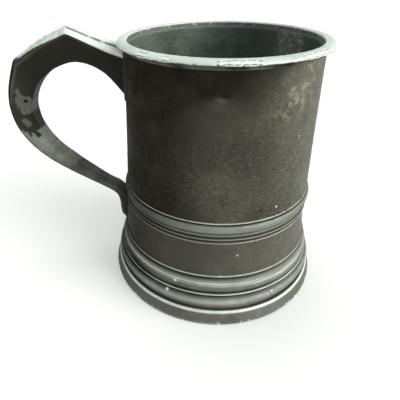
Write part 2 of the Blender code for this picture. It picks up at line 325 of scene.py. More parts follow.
def skin_over(name, loops, sharp=None):
    """A mesh over loops of points in millimetres that all have the same count, capped at both ends."""
    build = bmesh.new()
    rings = [[build.verts.new(Vector(p) * MM) for p in loop] for loop in loops]
    around = len(rings[0])
    for near, far in zip(rings, rings[1:]):
        for i in range(around):
            j = (i + 1) % around
            build.faces.new((near[i], near[j], far[j], far[i]))
    build.faces.new(list(reversed(rings[0])))
    build.faces.new(rings[-1])
    bmesh.ops.recalc_face_normals(build, faces=build.faces)
    mesh = bpy.data.meshes.new(name)
    build.to_mesh(mesh)
    build.free()
    mesh.shade_smooth()
    if sharp is not None:
        mesh.set_sharp_from_angle(angle=sharp)
    return mesh


def finish_piece(name, mesh, material, nodes, more=()):
    """An object on the mug's axis that rides the root body and stands in for the named CAD nodes."""
    made = bpy.data.objects.new(name, mesh)
    bpy.context.scene.collection.objects.link(made)
    for skin in (material, *more):
        mesh.materials.append(skin)
    made.location = (AXIS_X, 0, 0)
    bpy.context.view_layer.update()
    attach(made, "root")
    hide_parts(*nodes)
    return made


def turned(name, profile, turns, spacing, material, corner=0.2, inside=None, shape=None, paint=None,
           convex=1.0, hollow=1.0):
    """A closed (R, Z) outline, run down the outer side, turned about the mug's axis into a dense mesh.

    shape(angle, r, z) gives a move along the surface's normal in millimetres, and paint(angle, r, z) gives
    extra (wear, grime, bloom, speck). inside is the material of the faces that look towards the axis.
    """
    outline = divided(rounded(profile, corner), spacing)
    edge = bends(outline, 0.5)
    broad = bends(outline, 1.6)
    rows = len(outline)
    line = np.array([tuple(p) for p in outline])
    tangent = np.roll(line, -1, axis=0) - np.roll(line, 1, axis=0)
    normal = np.stack([-tangent[:, 1], tangent[:, 0]], axis=1)
    normal /= np.linalg.norm(normal, axis=1)[:, None]
    angles = np.linspace(0, math.tau, turns, endpoint=False)
    wear_and_highlight = np.zeros((turns, rows))
    grime_and_shade = np.zeros((turns, rows))
    bloom_and_light = np.zeros((turns, rows))
    speck = np.zeros((turns, rows))
    moved = np.zeros((turns, rows))
    base_wear = np.clip(-edge * 4.0 * convex, 0, 1) + np.clip(-broad * 0.8 * convex, 0, 0.5)
    base_grime = np.clip(edge * 5.0 * hollow, 0, 1) + np.clip(broad * 0.9 * hollow, 0, 0.6)
    for i, angle in enumerate(angles):
        degrees = math.degrees(angle)
        degrees = degrees - 360 if degrees > 180 else degrees
        for j in range(rows):
            if shape:
                moved[i, j] = shape(degrees, line[j, 0], line[j, 1])
            if paint:
                wear_and_highlight[i, j], grime_and_shade[i, j], bloom_and_light[i, j], speck[i, j] = paint(degrees, line[j, 0], line[j, 1])
    wear_and_highlight = np.clip(wear_and_highlight + base_wear[None, :], 0, 1)
    grime_and_shade = np.clip(grime_and_shade + base_grime[None, :], 0, 1)
    spot = line[None, :, :] + normal[None, :, :] * moved[:, :, None]
    points = np.empty((turns, rows, 3))
    points[:, :, 0] = spot[:, :, 0] * np.cos(angles)[:, None]
    points[:, :, 1] = spot[:, :, 0] * np.sin(angles)[:, None]
    points[:, :, 2] = spot[:, :, 1]
    index = np.arange(turns * rows).reshape(turns, rows)
    nxt = np.roll(index, -1, axis=0)
    quads = np.stack([index, np.roll(index, -1, axis=1), np.roll(nxt, -1, axis=1), nxt], axis=-1)
    mesh = bpy.data.meshes.new(name)
    mesh.from_pydata((points.reshape(-1, 3) * MM).tolist(), [], quads.reshape(-1, 4).tolist())
    mesh.shade_smooth()
    mesh.set_sharp_from_angle(angle=TURNED_SHARP)
    for label, values in zip(PAINTS, (wear_and_highlight, grime_and_shade, bloom_and_light, speck)):
        add_attribute(mesh, label, values.reshape(-1))
    if inside is not None:
        inner = (normal[:, 0] < FACING_AXIS).astype(np.int32)
        mesh.polygons.foreach_set("material_index", np.tile(inner, turns))
    return finish_piece(name + "_fine", mesh, material, [name], () if inside is None else (inside,))


def ripple(angle, r, z, size, seed=0.0, octaves=3):
    """Smooth fractal noise over the mug's surface, about -1 to 1, with features of size millimetres."""
    a = math.radians(angle)
    spot = Vector((r * math.cos(a) + seed, r * math.sin(a), z)) / size
    return noise.fractal(spot, 1.0, 2.0, octaves)


def dent(angle, z, at_angle, at_z, wide, high, depth, r=43.0):
    """A soft hollow in the wall, or a soft bump where the depth is negative."""
    across = math.radians(angle - at_angle) * r / wide
    up = (z - at_z) / high
    far = across * across + up * up
    return -depth * math.exp(-far * 2.5) if far < 4 else 0.0


# ---------------------------------------------------------------- places on the surface


def ease(value, low, high):
    """0 at low, 1 at high, smooth between and held beyond them. Low may be the larger of the two."""
    t = max(0.0, min(1.0, (value - low) / (high - low)))
    return t * t * (3 - 2 * t)


def line_at(z, at, half):
    """1 on a thin horizontal line, 0 off it."""
    return math.exp(-(((z - at) / half) ** 2))


def from_left(angle):
    """Degrees round from the shaded side, which lies beside the handle, away from the light: positive through
    the front.
    """
    return (angle + 330) % 360 - 180


def lit_side(angle):
    """Fades the painted highlights on the rubbed lines towards the handle, on the side away from the light.
    """
    turn = from_left(angle)
    return 0.25 + 0.75 * (ease(turn, -18, 30) if turn > -18 else ease(-turn, 40, 110))


def right_side(angle):
    """1 round to the right of the front, 0 elsewhere."""
    return ease(angle, -85, -45) * ease(-angle, -60, 10)


def groove(angle):
    """The grooves' dark is partly dirt and partly painted shade, which is lighter round to the right, towards
    the light.
    """
    return 1 - 0.55 * right_side(angle)


def shaded_side(angle, start=64, width=34):
    """Painted shade: 1 beside the handle, on the side away from the light, fading to 0 across the front and
    again round the back.
    """
    turn = from_left(angle)
    return ease(start - turn, 0, width) if turn > 0 else 1 - ease(-turn, 50, 170)


# Angle, Z and radius of each white speck
SPECKS = (
    (-54.1, 56.5, 0.55), (-75.2, 35.2, 0.45), (-108.3, 19.8, 0.75), (-112.4, 13.5, 0.65), (-137.4, 20.4, 0.5),
    (-55.0, 12.9, 0.5), (-54.4, 11.6, 0.4), (-57.5, 12.0, 0.35), (-84.0, 24.8, 0.4), (-20.0, 31.0, 0.5),
    (40.0, 62.0, 0.5), (130.0, 80.0, 0.5), (95.0, 33.0, 0.5), (-42.4, 84.8, 0.35), (-41.8, 84.2, 0.3),
)


def speck_at(angle, r, z):
    """How deep a point lies inside a white speck."""
    value = 0.0
    for at_angle, at_z, size in SPECKS:
        off = math.hypot(math.radians(angle - at_angle) * r, z - at_z)
        if off < size:
            value = max(value, 1 - (off / size) ** 3)
    return value


# ---------------------------------------------------------------- drum and lip

# Angle, Z, half width, half height and depth of each soft dent; a negative depth stands out
DRUM_DENTS = (
    (-87.6, 103.6, 2.3, 1.2, 0.55),
    (-89.0, 101.6, 2.4, 1.0, -0.25),
    (-118.0, 70.0, 12.0, 9.0, 0.25),
    (-45.0, 84.0, 16.0, 12.0, 0.25),
    (35.0, 75.0, 14.0, 16.0, 0.35),
    (110.0, 90.0, 12.0, 10.0, 0.3),
)


def drum_shape(angle, r, z):
    """A wall that waves a little, with soft dents, a leathery grain and pits."""
    if r < drum_radius(min(z, DRUM_TOP_Z)) - 0.5:
        return 0.03 * ripple(angle, r, z, 9.0, 40.0) * ease(DRUM_TOP_Z - z, 0.2, 3.0)
    move = 0.1 * ripple(angle, r, z, 22.0) + 0.05 * ripple(angle, r, z, 4.0, 7.0) - 0.03
    for at_angle, at_z, wide, high, depth in DRUM_DENTS:
        move += dent(angle, z, at_angle, at_z, wide, high, depth)
    field = ripple(angle, r, z, 26.0, 3.0, 2)
    move += 0.06 * ripple(angle, r, z * 1.4, 2.2, 29.0, 2) * ease(field, -0.3, 0.1)
    pit = ripple(angle, r, z, 1.7, 19.0, 2)
    low_pits = ease(z, 62, 55) if z < 62 and -85 < angle < -45 else 0.0
    open_field = max(min(1.0, field * 4), low_pits)
    if pit > 0.35 and open_field > 0:
        move -= 0.25 * (pit - 0.35) * open_field
    edge = min(1.0, max(0.0, (z - 52.5) / 3), max(0.0, (DRUM_TOP_Z - z) / 3))
    return move * edge


def drum_paint(angle, r, z):
    """Painted shade beside the handle and under the lip, with a pale crusted patch and painted light round to
    the right.
    """
    if r < drum_radius(min(z, DRUM_TOP_Z)) - 0.5:
        # Inside, dark is painted shade on the wall round to the right, which faces away from the light.
        dark = ease(angle, 125, 40) if angle > 0 else 1.0 - ease(angle, -60, -170)
        crust = ease(abs(angle - 38), 16, 6) * ease(z, 97, 104)
        spots = max(0.0, ripple(angle, r, z, 1.6, 23.0, 2) - 0.25) * 3 * crust
        return min(1.0, spots), 0.2 * dark * ease(z, 60, 108), 0.5 * crust, 0.0
    wander = 7 * ripple(angle, r, z, 34.0, 5.0, 2)
    # Painted shade under the lip; front carries it further round the front near the top, and left is painted
    # shade beside the handle.
    shade = ease(z + wander, 92, 108)
    front = shaded_side(angle, 102 + (z - 105) * 1.2, 36)
    left = shaded_side(angle)
    # This sum is painted shade; dirt marks are added to it below.
    grime_and_shade = 0.96 * shade * front + 0.95 * left * (0.88 + 0.12 * shade)
    patch = math.exp(-(((angle + 48 + (z - 103) * -0.45) / 10.0) ** 2 + ((z - 103) / 9.0) ** 2))
    patch *= 0.02 + 0.85 * ease(ripple(angle, r, z, 3.4, 13.0, 4), -0.05, 0.2)
    # side is painted light: a paler wash round to the right, where the light falls.
    side = 0.33 * ease(angle, -66, -30) * ease(-angle, -60, 10)
    # A painted highlight along the drum's lower edge, fading on the shaded side.
    wear_and_highlight = 0.95 * line_at(z, 52.05, 0.2) * lit_side(angle) if z < 53.2 else 0.0
    grime_and_shade *= 1 - min(1.0, patch)
    marks = ripple(angle, r, z * 1.5, 1.3, 27.0, 2)
    field = ease(ripple(angle, r, z, 26.0, 3.0, 2), -0.25, 0.15) * ease(108 - z, 0, 8)
    grime_and_shade += 0.32 * ease(marks, 0.3, 0.5) * field
    wear_and_highlight += 0.045 * ease(-marks, 0.35, 0.5) * field
    low = ease(z, 60.5, 56) * ease(abs(angle + 50), 26, 14)
    grime_and_shade += 0.7 * low * ease(ripple(angle, r, z, 1.1, 47.0, 2), 0.12, 0.35)
    ding = math.exp(-(((angle + 87.4) / 1.9) ** 2 + ((z - 103.7) / 0.7) ** 2))
    streak = math.exp(-(((angle + 89.0) / 2.8) ** 2 + ((z - 102.2) / 0.7) ** 2))
    below = math.exp(-(((angle + 90.0) / 7.0) ** 2 + ((z - 100.0) / 2.6) ** 2))
    grime_and_shade = grime_and_shade * (1 - 0.5 * below) + ding
    wear_and_highlight += 0.14 * streak + 0.03 * below
    if z < 51.6:
        grime_and_shade = 0.9
    return wear_and_highlight, min(0.95, grime_and_shade) * (1 - wear_and_highlight), min(0.9, patch + side), speck_at(angle, r, z)


def make_drum():
    heights = (DRUM_TOP_Z, 103.0, 95.0, 88.0, 79.0, 70.0, 61.0, 52.9)
    profile = [(drum_radius(z), z) for z in heights]
    profile += [(44.68, 52.6), (44.9, 52.2), (44.9, 51.85), (44.6, 51.25), (43.6, 51.25)]
    profile += [(43.6, 45.3), (42.6, 45.3), (42.6, 52.0), (MOUTH_R + 0.003, DRUM_TOP_Z - 0.06)]
    profile += [(MOUTH_R, DRUM_TOP_Z), (MOUTH_R + 0.06, DRUM_TOP_Z)]
    turned("drum", profile, 600, 0.5, DRUM_SKIN, corner=0.12, inside=INSIDE_SKIN,
           shape=drum_shape, paint=drum_paint, convex=0.1, hollow=0.15)


# First and last angle of each cracked stretch of the lip
RIM_CRACKS = ((-134.0, -125.0), (-119.0, -112.0), (-93.0, -72.0), (-53.0, -30.0))


def lip_place(r, z):
    """Distance round the lip's section: out over its crown, then down its domed face."""
    if z > 115.1:
        return r
    return 43.0 + (115.1 - z)


def crack_depth(angle, r, z):
    """Ragged splits that follow the lip's outer edge, with short breaks across it."""
    if r < 41.3 or z < RIM_UNDERSIDE_Z:
        return 0.0
    depth = 0.0
    along = lip_place(r, z)
    for k, (start, end) in enumerate(RIM_CRACKS):
        if not start < angle < end:
            continue
        taper = min(1.0, (angle - start) / 2, (end - angle) / 2)
        bow = 0.5 * ease(abs(2 * (angle - start) / (end - start) - 1), 0.3, 1.0)
        for row, middle in enumerate((42.5 + bow, 43.9)):
            wander = 0.45 * noise.noise(Vector((angle * 0.35, row * 9.0, k * 5.0)))
            wander += 0.2 * noise.noise(Vector((angle * 1.5, row * 4.0, k * 3.0)))
            gone = noise.noise(Vector((angle * 0.9, row * 7.0 + 2.0, k * 4.0)))
            off = abs(along - middle - wander)
            depth = max(depth, taper * ease(gone, -0.35, -0.1) * math.exp(-((off / 0.17) ** 2)))
        cross = noise.noise(Vector((angle * 0.5, along * 0.35, k * 7.0)))
        depth = max(depth, 0.35 * taper * math.exp(-((cross / 0.022) ** 2)) * ease(along, 42.3, 42.8))
    return depth


def rim_shape(angle, r, z):
    """An uneven lip, chipped along its edge and cracked."""
    if r < 41.0 and z < HEIGHT - 1:
        return 0.0
    out = max(0.0, min(1.0, (r - 41.0) / 3.0))
    move = out * (0.12 * ripple(angle, r, z, 11.0, 60.0) + 0.06 * ripple(angle, r, z, 2.5, 61.0) - 0.08)
    move += 0.035 * ripple(angle, r, z, 1.2, 62.0, 2) - 0.03
    chip = ripple(angle, r, 0.0, 3.2, 33.0, 2)
    if chip > 0.25 and r > 43.2:
        move -= 0.5 * (chip - 0.25)
    return move - 0.3 * crack_depth(angle, r, z)


def rim_paint(angle, r, z):
    """Pale on top, partly rubbed and partly painted reflection, torn bright round the cracks, with a painted
    shadow below the edge.
    """
    cracked = 0.95 * ease(crack_depth(angle, r, z), 0.2, 0.7)
    ragged = 0.35 * ripple(angle, r, 0.0, 1.4, 75.0, 2)
    torn = max(min(angle - start, end - angle) for start, end in RIM_CRACKS)
    torn = ease(torn + 2.5 * ripple(angle, r, z, 2.0, 76.0, 2), 0.0, 2.0) * ease(r, 41.6, 42.6)
    # under is a painted shadow on the lip's face below its edge.
    under = ease(114.1 - 0.3 * torn + ragged - z, 0.0, 0.35) if r > 41.5 else 0.0
    stain = max(0.0, 0.5 * ripple(angle, r, z, 5.0, 71.0, 4))
    chip = ease(ripple(angle, r, 0.0, 3.2, 33.0, 2), 0.2, 0.4) * ease(r, 43.3, 43.8)
    flake = 0.6 * ease(ripple(angle, r, z, 1.5, 73.0, 2), 0.3, 0.55) * ease(114.8 - z, 0.0, 0.5)
    if r < 39.7:
        spots = 0.55 * ease(ripple(angle, r, z, 1.8, 79.0, 2), 0.25, 0.5) * ease(z, 113.4, 114.2)
        return spots, 0.0, 0.0, 0.0
    wear_and_highlight = 0.2 * (1 - under) + 0.6 * torn * (1 - 0.6 * under)
    grime_and_shade = cracked + 0.97 * under * (1 - 0.35 * chip) + 0.3 * stain + 0.25 * flake
    return wear_and_highlight, min(1.0, grime_and_shade), 0.0, 0.0


def make_rim():
    dome_r, dome_z = 41.3, 113.95
    seat = DRUM_TOP_Z + 0.04
    profile = [(MOUTH_R + 0.6, HEIGHT)]
    profile += arc((dome_r, dome_z), (RIM_R - dome_r, HEIGHT - dome_z), 90, 0, 10)
    profile += [(RIM_R - 0.08, 113.65), (43.75, 113.4), (43.1, RIM_UNDERSIDE_Z), (42.3, 112.75)]
    profile += [(41.85, 112.0), (41.2, 111.75), (40.98, 112.3), (40.98, seat)]
    profile += [(MOUTH_R + 0.06, seat), (MOUTH_R, seat), (MOUTH_R, DRUM_TOP_Z + 0.1)]
    profile += [(MOUTH_R, HEIGHT - 0.7), (MOUTH_R + 0.12, HEIGHT - 0.35), (MOUTH_R + 0.3, HEIGHT - 0.12)]
    turned("rim_ring", profile, 1400, 0.2, RIM_SKIN, corner=0.1, inside=INSIDE_SKIN,
           shape=rim_shape, paint=rim_paint, convex=0.15, hollow=0.3)


# ---------------------------------------------------------------- waist and foot


def ring_shape(angle, r, z):
    """The slight unevenness of the moulded rings."""
    return 0.035 * ripple(angle, r, z, 14.0, 80.0) + 0.02 * ripple(angle, r, z, 3.0, 81.0)


def foot_shape(angle, r, z):
    """The foot's lower edge is nicked all round from being set down."""
    move = ring_shape(angle, r, z)
    nick = ripple(angle, r, 0.0, 1.6, 50.0, 2)
    if z < 1.6 and r > 52 and nick > 0.2:
        move -= 0.5 * (nick - 0.2)
    return move - 0.03


def band_paint(angle, r, z):
    """Pale on its crest, partly rubbed and partly a painted highlight strongest on the side facing the
    camera, dark in the corners above and below it, with painted shade beside the handle.
    """
    crest = ease(z, 46.9, 48.2) * ease(51.1 - z, 0.0, 0.5)
    turn = (angle + 84 + 180) % 360 - 180
    # front makes the crest's painted highlight strongest on the side that faces the camera.
    front = 0.25 + 0.75 * math.exp(-((turn / 38.0) ** 2))
    low = ease(48.4 - z, 0.0, 1.6)
    # left is painted shade beside the handle.
    left = 0.85 * shaded_side(angle, 58, 60)
    return 0.12 * crest * front, min(0.95, 0.75 * (1 - crest) + 0.3 * low + left), 0.0, 0.0


def make_band():
    profile = [(43.9, 51.1)]
    profile += arc((44.75, 48.85), (1.2, 2.25), 88, -88, 14)
    profile += [(43.9, 46.6)]
    turned("waist_band", profile, 480, 0.3, FOOT_SKIN, corner=0.1, shape=ring_shape,
           paint=band_paint, convex=0.1, hollow=0.1)


def reed(z, root):
    """A fine raised line round the body."""
    half = [(root, z + 0.6), (root + 0.18, z + 0.28), (root + 0.4, z)]
    return half + [(root + 0.18, z - 0.28), (root + 0.05, z - 0.6)]


def lower_paint(angle, r, z):
    """Pale lines on the reeds, the arris and the ovolo's crest, partly rubbed and partly painted highlights,
    with dark grooves between them, painted shade beside the handle and painted light round to the right.
    """
    if r < 45.2 and z < 25 or r < 44.0:
        return 0.0, 0.2, 0.0, 0.0
    # The pale lines are painted highlights, partly rubbed metal.
    lines = 0.18 * line_at(z, 45.9, 0.2) + 0.2 * line_at(z, 44.0, 0.22) + 0.3 * line_at(z, 42.0, 0.24)
    arris = line_at(z, 24.6, 0.32)
    if z < 24:
        crest = 0.36 * ease(23.3 - z, 0.0, 1.9) * ease(z, 20.3, 20.6) + 0.5 * line_at(z, 21.0, 0.25)
        lines += crest * (1 - 0.6 * right_side(angle))
    dark = 0.6 * line_at(z, 46.6, 0.5) + 0.85 * line_at(z, 44.9, 0.45) + 0.8 * line_at(z, 43.0, 0.45)
    dark += 0.95 * groove(angle) * line_at(z, 23.7, 0.4) + 0.95 * groove(angle) * line_at(z, 20.2, 0.2)
    # left is painted shade beside the handle.
    left = 0.75 * shaded_side(angle, 55, 55) * (1 - 0.55 * ease(23.5 - z, 0.0, 1.0))
    wear_and_highlight = min(1.0, lines * lit_side(angle) + 0.75 * arris * (0.5 + 0.5 * lit_side(angle)))
    # glow is painted light, a paler wash round to the right.
    glow = 0.3 * ease(angle, -72, -35) * ease(-angle, -60, 10)
    return wear_and_highlight, min(0.95, (dark + left) * (1 - 0.9 * wear_and_highlight)), glow, speck_at(angle, r, z)


def skirt_paint(angle, r, z):
    """Pale on the ovolo, the arris and the torus, partly rubbed and partly painted highlights, dark in the
    grooves, with painted shade on the torus's lower half and beside the handle.
    """
    if r < 48.5:
        return 0.0, 0.5, 0.0, 0.0
    # Painted highlights on the ovolo's top, the arris and the upper torus.
    lines = 0.08 * ease(z, 16.8, 19.4) + 0.32 * ease(z, 19.5, 19.9)
    arris = line_at(z, 15.5, 0.35)
    lines += 0.3 * math.exp(-(((z - 12.0) / 1.1) ** 2)) * (1 - 0.7 * right_side(angle))
    dark = 0.75 * line_at(z, 16.5, 0.5) + 0.95 * line_at(z, 14.6, 0.4) + 0.4 * ease(z, 12.8, 14.4)
    # The lower half of the torus is painted darker: painted shade.
    dark = (dark + 0.25 * ease(10.6 - z, 0.0, 3.0)) * groove(angle)
    # left is painted shade beside the handle.
    left = 0.72 * shaded_side(angle, 56, 66)
    wear_and_highlight = min(1.0, lines * (0.3 + 0.7 * lit_side(angle)) + 0.85 * arris * (0.6 + 0.4 * lit_side(angle)))
    cloud = max(0.0, ripple(angle, r, z, 5.0, 90.0))
    return wear_and_highlight, min(0.95, (dark + left) * (1 - 0.9 * wear_and_highlight)), 0.3 * cloud, speck_at(angle, r, z)


def foot_paint(angle, r, z):
    """A painted highlight along the arris, rubbed pale in the nicks of the lower edge, with painted shade
    beside the handle and on the ledge under the skirt.
    """
    if z > 7.4 or r < 51.0:
        return 0.0, 0.55, 0.0, 0.0
    cloud = max(0.0, 0.5 * ripple(angle, r, z, 5.0, 90.0))
    # This is a painted highlight along the arris, fading on the shaded side.
    wear_and_highlight = 1.0 * ease(z, 5.6, 6.3) * ease(r, 52.0, 52.5) * (0.5 + 0.5 * lit_side(angle))
    # left is painted shade: beside the handle, and on the ledge under the skirt.
    left = 0.3 * shaded_side(angle, 35, 50) + 0.6 * ease(52.3 - r, 0.0, 0.5) * ease(z, 6.6, 7.0)
    low = 0.5 * ease(1.2 - z, 0.0, 1.0)
    nick = ease(ripple(angle, r, 0.0, 1.8, 51.0, 2), 0.2, 0.5) * ease(1.6 - z, 0.0, 0.6)
    grime_and_shade = 0.3 * cloud + left + low * (1 - nick)
    return max(wear_and_highlight, 0.8 * nick), min(0.9, grime_and_shade), 0.5 * cloud, speck_at(angle, r, z)


def make_lower_body():
    profile = [(43.9, 46.54), (44.85, 46.54), (45.1, 46.1), (45.1, 44.9)]
    for z in REED_ZS:
        profile += reed(z, REED_ROOT_R)
    profile += WAIST_LINE + [(47.25, 25.25), (47.65, 25.0), (47.75, 24.55), (47.6, 24.2), (47.4, 23.7)]
    profile += [(47.75, 23.2), (48.25, 22.7), (48.7, 21.9), (48.95, 21.0), (49.0, 20.45), (48.7, 20.2)]
    profile += [(46.6, 20.2), (46.6, 7.4), (45.6, 7.4), (45.6, 12.5), (44.2, 12.5), (44.2, 22.0)]
    profile += [(42.6, 45.25), (43.9, 45.25)]
    turned("lower_body", profile, 540, 0.3, WAIST_SKIN, corner=0.12, inside=INSIDE_SKIN,
           shape=ring_shape, paint=lower_paint, convex=0.15, hollow=0.12)


def make_skirt():
    profile = [(46.66, 20.14), (48.85, 20.14), (49.2, 19.9), (49.65, 19.1), (49.85, 18.2), (49.8, 17.2)]
    profile += [(49.55, 16.4), (49.6, 16.15), (50.1, 15.9), (50.3, 15.65), (50.3, 15.35), (50.15, 15.1)]
    profile += [(49.95, 14.85), (49.9, 14.35)] + arc((49.95, 10.8), (2.1, 3.0), 74, -72, 14)
    profile += [(50.7, 7.6), (50.7, 7.16), (46.66, 7.16)]
    turned("foot_skirt", profile, 540, 0.3, FOOT_SKIN, corner=0.12, shape=ring_shape,
           paint=skirt_paint, convex=0.15, hollow=0.12)


def make_foot():
    profile = [(42.8, 9.94), (45.54, 9.94), (45.54, 7.1), (52.2, 7.1), (52.65, 6.85), (52.85, 6.3)]
    profile += [(53.1, 5.6), (54.6, 0.9), (54.7, 0.5), (54.35, 0.0), (51.2, 0.0), (49.8, 4.0)]
    profile += [(47.5, 5.0), (42.8, 7.2)]
    turned("foot_ring", profile, 720, 0.35, FOOT_SKIN, corner=0.25, shape=foot_shape,
           paint=foot_paint, convex=0.1, hollow=0.15)


def plain_paint(angle, r, z):
    """Cloudy grime and oxide for the base plate."""
    cloud = max(0.0, ripple(angle, r, z, 12.0, 95.0))
    return 0.05, 0.4 * cloud, 0.3 * max(0.0, ripple(angle, r, z, 5.0, 97.0)), 0.0


def make_base():
    """The base plate, dished up at its middle. Its innermost ring closes to a point on the axis."""
    profile = [(0.02, 12.8), (28.0, 12.8), (41.0, 12.2), (45.54, 12.2), (45.54, 10.0), (41.0, 10.0)]
    profile += [(28.0, 10.6), (0.02, 10.6)]
    made = turned("base_plate", profile, 240, 1.0, INSIDE_SKIN, corner=0.3,
                  paint=plain_paint, convex=0.05, hollow=0.3)
    build = bmesh.new()
    build.from_mesh(made.data)
    for height in (12.8, 10.6):
        ring = [v for v in build.verts if v.co.xy.length < 0.05 * MM and abs(v.co.z / MM - height) < 0.3]
        bmesh.ops.pointmerge(build, verts=ring, merge_co=(0, 0, height * MM))
    bmesh.ops.dissolve_degenerate(build, edges=build.edges, dist=1e-7)
    build.to_mesh(made.data)
    build.free()


def make_base_solder():
    profile = [(44.18, 14.4), (44.18, 12.24), (41.6, 12.24), (42.2, 12.6), (43.2, 13.1), (43.8, 13.7)]
    turned("base_solder", profile, 240, 0.4, SOLDER_SKIN, corner=0.2,
           shape=lambda a, r, z: 0.15 * ripple(a, r, z, 5.0, 99.0) if r < 44 and z > 12.4 else 0.0)


# ---------------------------------------------------------------- handle

# Crown line and belly line as (S, Z), and half width, station by station from the lip down
HANDLE_STATIONS = (
    ((40.3, 110.9), (41.2, 89.4), 6.9),
    ((53.5, 114.8), (51.4, 100.8), 6.9),
    ((65.6, 119.4), (62.7, 104.9), 6.9),
    ((79.0, 113.5), (73.8, 101.9), 6.9),
    ((92.3, 105.4), (82.4, 95.8), 6.9),
    ((98.3, 92.5), (87.4, 88.3), 6.4),
    ((100.2, 82.0), (89.0, 81.0), 6.1),
    ((97.9, 70.5), (87.0, 72.0), 5.7),
    ((89.5, 59.3), (81.3, 63.9), 5.3),
    ((76.5, 50.2), (71.0, 55.3), 4.8),
    ((61.4, 42.2), (57.8, 46.0), 4.25),
    ((53.3, 37.4), (50.4, 41.9), 4.3),
    ((51.2, 33.2), (45.0, 35.7), 4.4),
    ((51.1, 28.0), (45.5, 28.0), 4.4),
    ((50.7, 23.2), (46.4, 23.2), 4.1),
)
BREAKS = (2, 4)  # stations where the crown line turns a sharp corner
STATION_STEPS = 26
ROOT_STEPS = 12  # the cast roughness fades in over these, beside the mug
CHAMFER = 0.375  # fall of the handle's shoulder, as a share of its half width
CREASE = 0.6  # where the chamfer starts, as a share of the half width
STRUT_SEAM = 4.14  # the casting seam's distance from the handle's middle, along the strut
CORE_PIN = (90.0, 87.4, 0.8)  # S, Z and radius of the pin hole
HANDLE_SHARP = math.radians(50)


def smooth(points, corners):
    """Points along a Catmull-Rom curve through the given points, straight-ended at each corner."""
    line = []
    last = len(points) - 1
    for i in range(last):
        b, c = Vector(points[i]), Vector(points[i + 1])
        a = 2 * b - c if i == 0 or i in corners else Vector(points[i - 1])
        d = 2 * c - b if i + 1 == last or i + 1 in corners else Vector(points[i + 2])
        for k in range(STATION_STEPS):
            t = k / STATION_STEPS
            line.append(0.5 * (2 * b + (c - a) * t + (2 * a - 5 * b + 4 * c - d) * t * t
                               + (3 * b - a - 3 * c + d) * t * t * t))
    line.append(Vector(points[last]))
    return line


def soften(line, passes):
    """The line with its corners averaged away a little more on each pass."""
    for _ in range(passes):
        line = [line[0]] + [(a + 2 * b + c) / 4 for a, b, c in zip(line, line[1:], line[2:])] + [line[-1]]
    return line


def half_section(depth, half):
    """Half an outline of the handle, crown to belly, as ((depth, width), corner radius)."""
    fall = CHAMFER * half
    return [
        ((0.0, 0.0), 0.0),
        ((0.28 * fall, CREASE * half), 0.5),
        ((fall, half), 0.25),
        ((depth - 0.4 * half, half), 1.0),
        ((depth - 0.15 * half, 0.86 * half), 0.8),
        ((depth, 0.55 * half), 0.8),
        ((depth, 0.0), 0.0),
    ]


def fine_outline(depth, half, side):
    """A dense half outline from crown to belly on one side, with the same count for every station."""
    corners = half_section(depth, half)
    cuts = (5, 6, 32, 4, 3, 4)
    line = []
    for i, (point, radius) in enumerate(corners):
        here = Vector(point)
        if radius:
            before, after = Vector(corners[i - 1][0]), Vector(corners[i + 1][0])
            start = here + (before - here) * min(0.4, radius / (before - here).length)
            end = here + (after - here) * min(0.4, radius / (after - here).length)
            shares = (0, 0.25, 0.5, 0.75, 1)
            curve = [(1 - t) ** 2 * start + 2 * t * (1 - t) * here + t * t * end for t in shares]
        else:
            curve = [here]
        if line:
            before = line[-1]
            line += [before.lerp(curve[0], k / cuts[i - 1]) for k in range(1, cuts[i - 1])]
        line += curve
    return [(p.x, p.y * side) for p in line]


def trimmed(outline, seam, keep_outer):
    """The near half outline, with each point past the seam slid onto it."""
    pick = max if keep_outer else min
    return [(depth, -pick(abs(width), seam)) for depth, width in outline]


def handle_move(s, y, z, shoulder):
    """How far the cast surface strays from true, in millimetres."""
    spot = Vector((s, y, z))
    move = 0.12 * noise.fractal(spot / 9.0, 1.0, 2.0, 3) + 0.05 * noise.fractal(spot / 2.0, 1.0, 2.0, 2)
    move += 0.18 * noise.fractal(Vector((s, 3.0, z)) / 4.0, 1.0, 2.0, 2) * shoulder
    if y < -2:
        off = math.hypot(s - CORE_PIN[0], z - CORE_PIN[1])
        move -= 0.7 * math.exp(-(off / CORE_PIN[2]) ** 4)
    return move - 0.06


def make_handle():
    crown = soften(smooth([s[0] for s in HANDLE_STATIONS], BREAKS), 6)
    belly = smooth([s[1] for s in HANDLE_STATIONS], ())
    widths = [w.x for w in smooth([(s[2], 0) for s in HANDLE_STATIONS], range(len(HANDLE_STATIONS)))]
    count = len(crown)
    for part in ("handle_body", "handle_side"):
        loops = []
        facts = []
        for i in range(count):
            along = (belly[i] - crown[i]).normalized()
            depth, half = (belly[i] - crown[i]).length, widths[i]
            strut = max(0.0, min(1.0, (2 * STATION_STEPS + 2 - i) / 4))
            seam_gap = 0.02 + 0.06 * strut
            seam = CREASE * half
            near = fine_outline(depth, half, -1)
            if part == "handle_body":
                outline = fine_outline(depth, half, 1)
                outline += trimmed(near, seam - seam_gap, False)[-2:0:-1]
            else:
                outline = trimmed(near, seam + seam_gap, True)
            loop = []
            fact = []
            for d, w in outline:
                shoulder = math.exp(-(((d - CHAMFER * half) ** 2 + (abs(w) - half) ** 2) / 0.8))
                s, z = crown[i].x + along.x * d, crown[i].y + along.y * d
                loop.append([-s, w, z])
                reach = CHAMFER * half + 0.25 + 1.0 * ease(1.7 - i / STATION_STEPS, 0.0, 1.4)
                top = max(0.0, 1 - d / reach)
                fact.append((i, d / depth, w, s, z, shoulder, top))
            loops.append(loop)
            facts.append(fact)
        build_handle(part, loops, facts)


